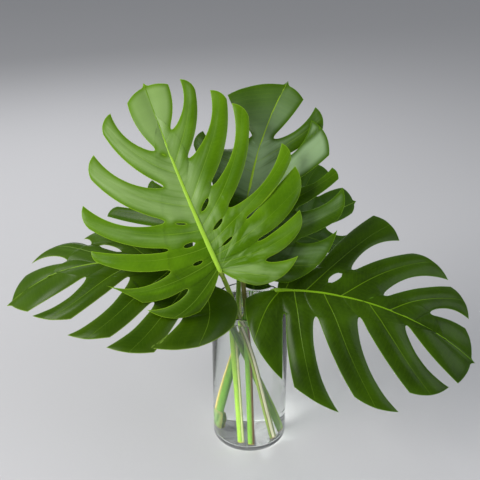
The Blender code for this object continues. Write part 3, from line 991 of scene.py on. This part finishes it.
def along_path(points, path):
    """For each point the distance along a polyline to its nearest place, and its signed distance from it."""
    ways = path[1:] - path[:-1]
    lengths = np.sqrt((ways**2).sum(1))
    starts = np.concatenate([[0.0], np.cumsum(lengths)[:-1]])
    offset = points[:, None] - path[None, :-1]
    share = np.clip((offset * ways).sum(2) / lengths**2, 0, 1)
    away = offset - share[..., None] * ways
    distance = np.sqrt((away**2).sum(2))
    best = distance.argmin(1)
    rows = np.arange(len(points))
    turn = ways[best, 0] * away[rows, best, 1] - ways[best, 1] * away[rows, best, 0]
    return starts[best] + share[rows, best] * lengths[best], distance[rows, best] * np.sign(turn)


class Blade:
    """Both halves of a leaf blade as one grid of faces in the leaf's plane."""

    def __init__(self, leaf):
        self.leaf = leaf
        self.points = []
        self.relief = []
        self.folds = []
        self.painted_lights = []
        self.lit_and_shaded_sides = []
        self.spine = set()
        self.faces = []
        self.charts = []
        for side in (-1, 1):
            self.known = {}
            painted_lights = FINISHES[leaf.name].shine[side > 0]
            for (lobe, grid), shine in zip(lobe_grids(leaf, side), painted_lights, strict=True):
                self.add_lobe(lobe, grid, side, shine)
        self.find_border()
        # Painted light and shade: each lobe's value smoothed wide, plus its painted lit and shaded sides
        self.shine = self.evened(np.array(self.painted_lights), 50) + self.evened(np.array(self.lit_and_shaded_sides), 5)
        # Painted sheen patch beside the midrib
        self.shine += self.heart(*FINISHES[leaf.name].heart)

    def heart(self, centre, strength, left):
        """Painted sheen beside the midrib, round a share of its length, and how much the left half gets."""
        found = []
        for (x, y), rib in zip(self.points, self.rib):
            share = y / self.leaf.length
            near = math.exp(-((rib / 30) ** 2) - ((share - centre) / 0.25) ** 2)
            found.append(strength * near * (1.0 if x > midrib(self.leaf, share).x else left))
        return np.array(found)

    def corner(self, point, relief, fold, shine, lit_and_shaded_side):
        key = (round(point.x, 2), round(point.y, 2))
        if key not in self.known:
            self.known[key] = len(self.points)
            self.points.append((point.x, point.y))
            self.relief.append(relief)
            self.folds.append(fold)
            self.painted_lights.append(shine)
            self.lit_and_shaded_sides.append(lit_and_shaded_side)
        return self.known[key]

    def add_lobe(self, lobe, grid, side, shine):
        vein = smoothed([row[CROSS_STEPS // 2] for row in grid])
        flat = np.array([tuple(point) for row in grid for point in row])
        along, across = along_path(flat, vein)
        reach = along.max()
        marks = [(a / CHART_MM, 0.9 if lobe is None else c / CHART_MM) for a, c in zip(along, across)]
        indices = []
        for i, v in enumerate(ROW_SHARES):
            width = (grid[i][-1] - grid[i][0]).length
            free = max(0.0, 2 * v - 1)
            rise = math.sin(math.pi * min(v, 0.5))
            for j, u in enumerate(COLUMN_SHARES):
                k = len(indices)
                relief = width * LOBE_ARCH * math.sin(math.pi * u) * rise
                fold = lit_and_shaded_side = 0.0
                if lobe is None:
                    relief -= crown_fall(self.leaf, grid[i][j].y)
                else:
                    relief += free * (lobe.lift + lobe.roll * width * (u - 0.5)) - TIP_FALL * v**3
                    # Painted light on one side of the lobe, painted shade on the other
                    lit_and_shaded_side = 0.3 * math.tanh(across[k] / FOLD_WIDTH) * math.sin(math.pi * u)
                    lit_and_shaded_side *= min(1.0, v / 0.35)
                    fade = min(1.0, along[k] / 12) * (1 - 0.55 * (along[k] / reach) ** 2)
                    fold = math.exp(-((across[k] / FOLD_WIDTH) ** 2)) * fade
                indices.append(self.corner(grid[i][j], relief, fold, shine, lit_and_shaded_side))
        wide = CROSS_STEPS + 1
        self.spine.update(indices[CROSS_STEPS::wide] if lobe is None else indices[:wide])
        for i in range(len(grid) - 1):
            for j in range(CROSS_STEPS):
                places = [(i, j), (i + 1, j), (i + 1, j + 1), (i, j + 1)][::side]
                face, chart = [], []
                for a, b in places:
                    if indices[a * wide + b] not in face:
                        face.append(indices[a * wide + b])
                        chart.append(marks[a * wide + b])
                if len(face) > 2:
                    self.faces.append(face)
                    self.charts.append(chart)

    def find_border(self):
        """Edges that only one face uses, and each point's distance from the free ones and from the midrib."""
        used = {}
        for face in self.faces:
            for pair in zip(face, face[1:] + face[:1]):
                used.setdefault(frozenset(pair), []).append(pair)
        self.border = [pairs[0] for pairs in used.values() if len(pairs) == 1]
        self.links = np.array([tuple(pair) for pair in used])
        self.rib = []
        for x, y in self.points:
            share = min(1.0, max(0.0, y / self.leaf.length))
            self.rib.append((Vector((x, y)) - midrib(self.leaf, share)).length)
        free = [pair for pair in self.border if max(self.rib[k] for k in pair) > 1.0]
        self.edge = edge_distances(self.points, [[self.points[k] for k in pair] for pair in free])

    def evened(self, heights, rounds=40):
        """Heights with the creases of the grid smoothed out."""
        first, second = self.links.T
        count = np.bincount(self.links.ravel(), minlength=len(heights))
        for _ in range(rounds):
            total = np.bincount(first, heights[second], len(heights))
            total += np.bincount(second, heights[first], len(heights))
            heights = 0.5 * heights + 0.5 * total / count
        return heights

    def heights(self, settings):
        """Height of each point over the leaf's plane, in millimetres."""
        shape = [blade_height(self.leaf, x, y) + r for (x, y), r in zip(self.points, self.relief)]
        shape = self.evened(np.array(shape))
        found = []
        seed = Vector((LEAVES.index(self.leaf) * 7.3, 0, 0))
        for k, (x, y) in enumerate(self.points):
            height = shape[k] - settings.groove / MM * self.folds[k]
            near = math.exp(-self.edge[k] / 3.0)
            height -= settings.rolled / MM * near * min(1.0, self.rib[k] / 12)
            slow = noise.noise(Vector((x, y, 0)) / 45 + seed)
            quick = noise.noise(Vector((x, y, 0)) / 17 + seed)
            out = min(1.0, self.rib[k] / 40)
            height += settings.wave / MM * (slow * 1.2 + quick * 0.45 * math.exp(-self.edge[k] / 9)) * out
            found.append(height)
        return found


@functools.lru_cache
def blade_of(leaf):
    return Blade(leaf)


def spine_path(leaf, settings):
    """The midrib's middle line, which follows the blade's surface almost to its apex."""
    blade = blade_of(leaf)
    heights = blade.heights(settings)
    known = sorted((blade.points[k][1], blade.points[k][0], heights[k]) for k in blade.spine)
    places, sides, levels = zip(*known)
    reach = SPINE_END * places[-1]
    place = placement(leaf)
    path = []
    for step in range(1, SPINE_STEPS + 1):
        y = reach * step / SPINE_STEPS
        path.append(place @ Vector((np.interp(y, places, sides), y, np.interp(y, places, levels))))
    return path


def make_blade(leaf, settings):
    """Thin closed blade with its own materials on the upper face, the underside and the cut edge."""
    blade = blade_of(leaf)
    place = placement(leaf)
    half = place.to_3x3() @ Vector((0, 0, settings.thickness / MM / 2))
    middles = [place @ Vector((x, y, h)) for (x, y), h in zip(blade.points, blade.heights(settings))]
    count = len(middles)
    vertices = [m + half for m in middles] + [m - half for m in middles]
    faces = list(blade.faces)
    faces += [[k + count for k in reversed(face)] for face in blade.faces]
    faces += [[b, a, a + count, b + count] for a, b in blade.border]
    charts = list(blade.charts) + [chart[::-1] for chart in blade.charts]
    charts += [[(0.0, 0.0)] * 4 for _ in blade.border]
    mesh = bpy.data.meshes.new(f"{leaf.name}_blade")
    mesh.from_pydata(vertices, [], faces)
    slots = [0] * len(blade.faces) + [1] * len(blade.faces) + [2] * len(blade.border)
    mesh.polygons.foreach_set("material_index", slots)
    plane = mesh.uv_layers.new(name="plane")
    lobe = mesh.uv_layers.new(name="lobe")
    flat = [blade.points[k % count] for face in faces for k in face]
    plane.data.foreach_set("uv", [v / CHART_MM for point in flat for v in point])
    lobe.data.foreach_set("uv", [v for chart in charts for mark in chart for v in mark])
    # The edge distance and the painted light and shade go to the materials as point values
    mark_points(mesh, edge=[*blade.edge, *blade.edge], shine=[*blade.shine, *blade.shine])
    finish = FINISHES[leaf.name]
    mesh.materials.append(leaf_upper(f"{leaf.name}_upper", finish))
    mesh.materials.append(leaf_under(f"{leaf.name}_under", finish))
    mesh.materials.append(leaf_rim(f"{leaf.name}_rim", finish))
    return grown(leaf, mesh)


def tube_faces(rings):
    """Faces of a closed tube: its sides from ring to ring, and then its two ends."""
    faces = []
    for i in range(rings - 1):
        for k in range(STALK_SIDES):
            m = (k + 1) % STALK_SIDES
            a, b = i * STALK_SIDES, (i + 1) * STALK_SIDES
            faces.append([a + k, a + m, b + m, b + k])
    last = (rings - 1) * STALK_SIDES
    return faces + [list(range(STALK_SIDES))[::-1], [last + k for k in range(STALK_SIDES)]]


def tube_chart(faces, lengths):
    """Texture place of each face corner of a tube: the share of a turn round it and the length along it."""
    marks = []
    for face in faces:
        for corner, index in enumerate(face):
            k, i = index % STALK_SIDES, index // STALK_SIDES
            wraps = len(face) == 4 and corner in (1, 2) and k == 0
            marks += [(k + STALK_SIDES * wraps) / STALK_SIDES, lengths[i]]
    return marks


def make_stalk(leaf, base_thickness, settings):
    """Stalk and midrib in one smooth tube, ridged along its dry streak."""
    finish = STALK_FINISHES[leaf.name]
    path = stalk_path(leaf, base_thickness)
    joint = len(path) - 1
    path += spine_path(leaf, settings)
    normal = (placement(leaf).to_3x3() @ Vector((0, 0, 1))).normalized()
    wide = FINISHES[leaf.name].spine
    vertices, streaks, alongs, rises, lengths = [], [], [], [], []
    across = Vector((1, 0, 0))
    travelled = 0.0
    for i, point in enumerate(path):
        ahead = direction(path, i)
        across = (across - ahead * across.dot(ahead)).normalized()
        beside = ahead.cross(across)
        share = max(0.0, (i - joint) / SPINE_STEPS)
        radius = interpolate(SPINE_RADII, share) if i > joint else stalk_radius(leaf, point)
        sideways = normal.cross(ahead).normalized() * (i > joint)
        upwards = ahead.cross(sideways)
        start = min(1.0, share * 12)
        travelled += (point - path[max(i - 1, 0)]).length
        for k in range(STALK_SIDES):
            turn = 2 * math.pi * k / STALK_SIDES
            streak = math.cos(turn - math.radians(finish.turn))
            ridge = STREAK_RIDGE * max(0.0, (streak - 0.9) / 0.1) * (i <= joint)
            out = across * math.cos(turn) + beside * math.sin(turn)
            out += sideways * out.dot(sideways) * (wide - 1) * start
            out += upwards * out.dot(upwards) * (SPINE_FLAT - 1) * start
            vertices.append(point + out * (radius + ridge))
            streaks.append(streak)
            alongs.append(share)
            rises.append(point.z)
        lengths.append(travelled * 1000 / CHART_MM)
    faces = tube_faces(len(path))
    slots = [int(i >= joint) for i in range(len(path) - 1) for _ in range(STALK_SIDES)] + [0, 1]
    mesh = bpy.data.meshes.new(f"{leaf.name}_stalk")
    mesh.from_pydata(vertices, [], faces)
    mesh.polygons.foreach_set("material_index", slots)
    mesh.uv_layers.new(name="stalk").data.foreach_set("uv", tube_chart(faces, lengths))
    mark_points(mesh, streak=streaks, along=alongs, rise=rises)
    mesh.materials.append(stalk_skin(f"{leaf.name}_stalk_skin", finish, leaf.junction[2]))
    mesh.materials.append(midrib_skin(f"{leaf.name}_midrib", FINISHES[leaf.name]))
    return grown(leaf, mesh)


def make_sheath(leaf, base_thickness):
    """Curled sheath round the stalk's foot: an open sleeve, fuller in its middle, its edges turned out."""
    path = [point for point in stalk_path(leaf, base_thickness) if point.z < leaf.sheath[0]]
    rows, columns = len(path), SHEATH_COLUMNS
    bm = bmesh.new()
    chart = bm.loops.layers.uv.new("stalk")
    edge = bm.verts.layers.float.new("edge")
    sheet = []
    for i, point in enumerate(path):
        v = i / (rows - 1)
        ahead = direction(path, i)
        across = (Vector((1, 0, 0)) - ahead * ahead.x).normalized()
        beside = ahead.cross(across)
        row = []
        for j in range(columns):
            u = j / (columns - 1)
            turn = math.radians(SHEATH_START + SHEATH_SWEEP * u)
            rim = abs(2 * u - 1)
            flare = 0.0014 * math.sin(math.pi * v) + 0.0010 * rim**6 + 0.0006 * math.sin(7 * u + 9 * v)
            out = across * math.cos(turn) + beside * math.sin(turn)
            vertex = bm.verts.new(point + out * (stalk_radius(leaf, point) + SHEATH_GAP + max(0.0, flare)))
            vertex[edge] = max(rim, abs(2 * v - 1))
            row.append(vertex)
        sheet.append(row)
    for i in range(rows - 1):
        for j in range(columns - 1):
            face = bm.faces.new((sheet[i][j], sheet[i][j + 1], sheet[i + 1][j + 1], sheet[i + 1][j]))
            for loop, (a, b) in zip(face.loops, ((i, j), (i, j + 1), (i + 1, j + 1), (i + 1, j))):
                loop[chart].uv = (b / columns, a / rows)
    bmesh.ops.solidify(bm, geom=bm.faces[:], thickness=-SHEATH_THICKNESS)
    bmesh.ops.recalc_face_normals(bm, faces=bm.faces)
    mesh = mesh_from(bm, f"{leaf.name}_sheath")
    mesh.materials.append(sheath_skin(f"{leaf.name}_sheath_skin"))
    return grown(leaf, mesh, sharp=180)


def arc(centre, radius, start, end, steps=12):
    """Profile points (r, z) along an arc, with angles in degrees from +r."""
    angles = [math.radians(start + (end - start) * i / steps) for i in range(steps + 1)]
    return [(centre[0] + radius * math.cos(a), centre[1] + radius * math.sin(a)) for a in angles]


def turned(name, profile, material, sides=144):
    """Closed body turned round Z from a profile that starts and ends on the axis."""
    bm = bmesh.new()
    rings = []
    for radius, z in profile:
        if radius < 1e-6:
            rings.append([bm.verts.new((0, 0, z))])
            continue
        turns = [2 * math.pi * k / sides for k in range(sides)]
        rings.append([bm.verts.new((radius * math.cos(t), radius * math.sin(t), z)) for t in turns])
    for low, high in zip(rings, rings[1:]):
        for k in range(sides):
            m = (k + 1) % sides
            corners = [low[k % len(low)], low[m % len(low)], high[m % len(high)], high[k % len(high)]]
            bm.faces.new(list(dict.fromkeys(corners)))
    bmesh.ops.recalc_face_normals(bm, faces=bm.faces)
    mesh = mesh_from(bm, name)
    mesh.materials.append(material)
    return placed(mesh, sharp=40)


class MONSTERA_OT_vase(bpy.types.Operator):
    """Build the clear glass cylinder"""

    bl_idname = "monstera.vase"
    bl_label = "Glass Vase"

    def execute(self, context):
        vase = context.scene.monstera_vase
        inner = vase.radius - vase.wall
        profile = [(0, 0)]
        profile += arc((vase.radius - vase.heel, vase.heel), vase.heel, -90, 0)
        profile += arc((vase.radius - vase.wall / 2, vase.height - vase.wall / 2), vase.wall / 2, 0, 180)
        profile += arc((inner - vase.heel, vase.base + vase.heel), vase.heel, 0, -90)
        profile += [(0, vase.base)]
        thing = turned("glass_vase", profile, glass_finish("clear_glass_finish"))
        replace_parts(thing, "vase")
        return {"FINISHED"}


class MONSTERA_OT_water(bpy.types.Operator):
    """Fill the vase with water, with a thin rise where it meets the glass"""

    bl_idname = "monstera.water"
    bl_label = "Water"

    def execute(self, context):
        vase = context.scene.monstera_vase
        overlap = 0.0002
        radius = vase.radius - vase.wall + overlap
        floor = vase.base - overlap
        rise = 0.0016
        profile = [(0, floor)]
        profile += arc((radius - vase.heel, floor + vase.heel), vase.heel, -90, 0)
        profile += [(radius, vase.water_top)]
        for inwards, down in ((0.3, 0.5), (0.8, 0.85), (2.0, 1.0)):
            profile.append((radius - overlap - inwards * rise, vase.water_top - down * rise))
        profile += [(0, vase.water_top - rise)]
        thing = turned("vase_water", profile, water_finish("clear_water"))
        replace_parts(thing, "water")
        return {"FINISHED"}


class MONSTERA_OT_blades(bpy.types.Operator):
    """Build the five lobed blades"""

    bl_idname = "monstera.blades"
    bl_label = "Leaf Blades"

    def execute(self, context):
        for leaf in LEAVES:
            make_blade(leaf, context.scene.monstera_blade)
        return {"FINISHED"}


class MONSTERA_OT_stalks(bpy.types.Operator):
    """Build the stalks with their midribs"""

    bl_idname = "monstera.stalks"
    bl_label = "Stalks and Midribs"

    def execute(self, context):
        for leaf in LEAVES:
            make_stalk(leaf, context.scene.monstera_vase.base, context.scene.monstera_blade)
        return {"FINISHED"}


class MONSTERA_OT_sheath(bpy.types.Operator):
    """Wrap the curled sheath round the foot of the stalk that has one"""

    bl_idname = "monstera.sheath"
    bl_label = "Sheath"

    def execute(self, context):
        for leaf in LEAVES:
            if leaf.sheath[0] > 0:
                make_sheath(leaf, context.scene.monstera_vase.base)
        return {"FINISHED"}


class MONSTERA_OT_stage(bpy.types.Operator):
    """Set the floor, the soft lights and the camera"""

    bl_idname = "monstera.stage"
    bl_label = "Studio"

    def execute(self, context):
        studio = context.scene.monstera_studio
        bm = bmesh.new()
        bmesh.ops.create_grid(bm, x_segments=4, y_segments=4, size=FLOOR_SIZE)
        mesh = mesh_from(bm, "floor")
        mesh.materials.append(floor_finish("pale_floor", studio.floor))
        floor = bpy.data.objects.new("floor", mesh)
        context.scene.collection.objects.link(floor)
        self.light("key_light", (-1.9, -1.2, 1.5), 1.2, studio.key_power, (1.0, 0.98, 0.95))
        self.light("fill_light", (1.6, -0.6, 1.0), 1.2, studio.fill_power, (0.95, 0.98, 1.0))
        self.light("back_light", (-0.6, 1.4, 1.3), 1.0, studio.fill_power, (1.0, 1.0, 1.0))
        world = bpy.data.worlds.new("studio_air")
        world.use_nodes = True
        air = world.node_tree.nodes["Background"]
        air.inputs["Color"].default_value = (0.93, 0.96, 1.0, 1.0)
        air.inputs["Strength"].default_value = studio.ambient
        context.scene.world = world
        context.scene.view_settings.view_transform = "Standard"
        camera = bpy.data.cameras.new("photo_camera")
        camera.sensor_width = 36.0
        camera.lens = CAMERA_LENS
        view = bpy.data.objects.new("photo_camera", camera)
        view.location = CAMERA_PLACE
        view.rotation_euler = (math.radians(CAMERA_TILT), 0, 0)
        context.scene.collection.objects.link(view)
        context.scene.camera = view
        return {"FINISHED"}

    @staticmethod
    def light(name, place, size, power, colour):
        lamp = bpy.data.lights.new(name, "AREA")
        lamp.shape = "SQUARE"
        lamp.size = size
        lamp.energy = power
        lamp.color = colour
        thing = bpy.data.objects.new(name, lamp)
        thing.location = place
        aim = Vector((0, 0, 0.25)) - Vector(place)
        thing.rotation_euler = aim.to_track_quat("-Z", "Y").to_euler()
        bpy.context.scene.collection.objects.link(thing)


STEPS = (
    MONSTERA_OT_vase,
    MONSTERA_OT_water,
    MONSTERA_OT_blades,
    MONSTERA_OT_stalks,
    MONSTERA_OT_sheath,
    MONSTERA_OT_stage,
)


class MONSTERA_PT_panel(bpy.types.Panel):
    """Sizes, colours and steps of the monstera leaves"""

    bl_idname = "MONSTERA_PT_panel"
    bl_label = "Monstera Leaves"
    bl_space_type = "VIEW_3D"
    bl_region_type = "UI"
    bl_category = "Monstera"

    def draw(self, context):
        scene = context.scene
        for group in (scene.monstera_blade, scene.monstera_vase, scene.monstera_studio):
            box = self.layout.box()
            for name in type(group).__annotations__:
                box.prop(group, name)
        for step in STEPS:
            self.layout.operator(step.bl_idname)


GROUPS = {"monstera_blade": BladeSettings, "monstera_vase": VaseSettings, "monstera_studio": StudioSettings}


def register():
    for name, group in GROUPS.items():
        bpy.utils.register_class(group)
        setattr(bpy.types.Scene, name, bpy.props.PointerProperty(type=group))
    for step in (*STEPS, MONSTERA_PT_panel):
        bpy.utils.register_class(step)


def unregister():
    for step in (MONSTERA_PT_panel, *reversed(STEPS)):
        bpy.utils.unregister_class(step)
    for name, group in GROUPS.items():
        delattr(bpy.types.Scene, name)
        bpy.utils.unregister_class(group)


def main():
    register()
    bpy.ops.monstera.vase()
    bpy.ops.monstera.water()
    bpy.ops.monstera.blades()
    bpy.ops.monstera.stalks()
    bpy.ops.monstera.sheath()
    bpy.ops.monstera.stage()


if __name__ == "__main__":
    main()
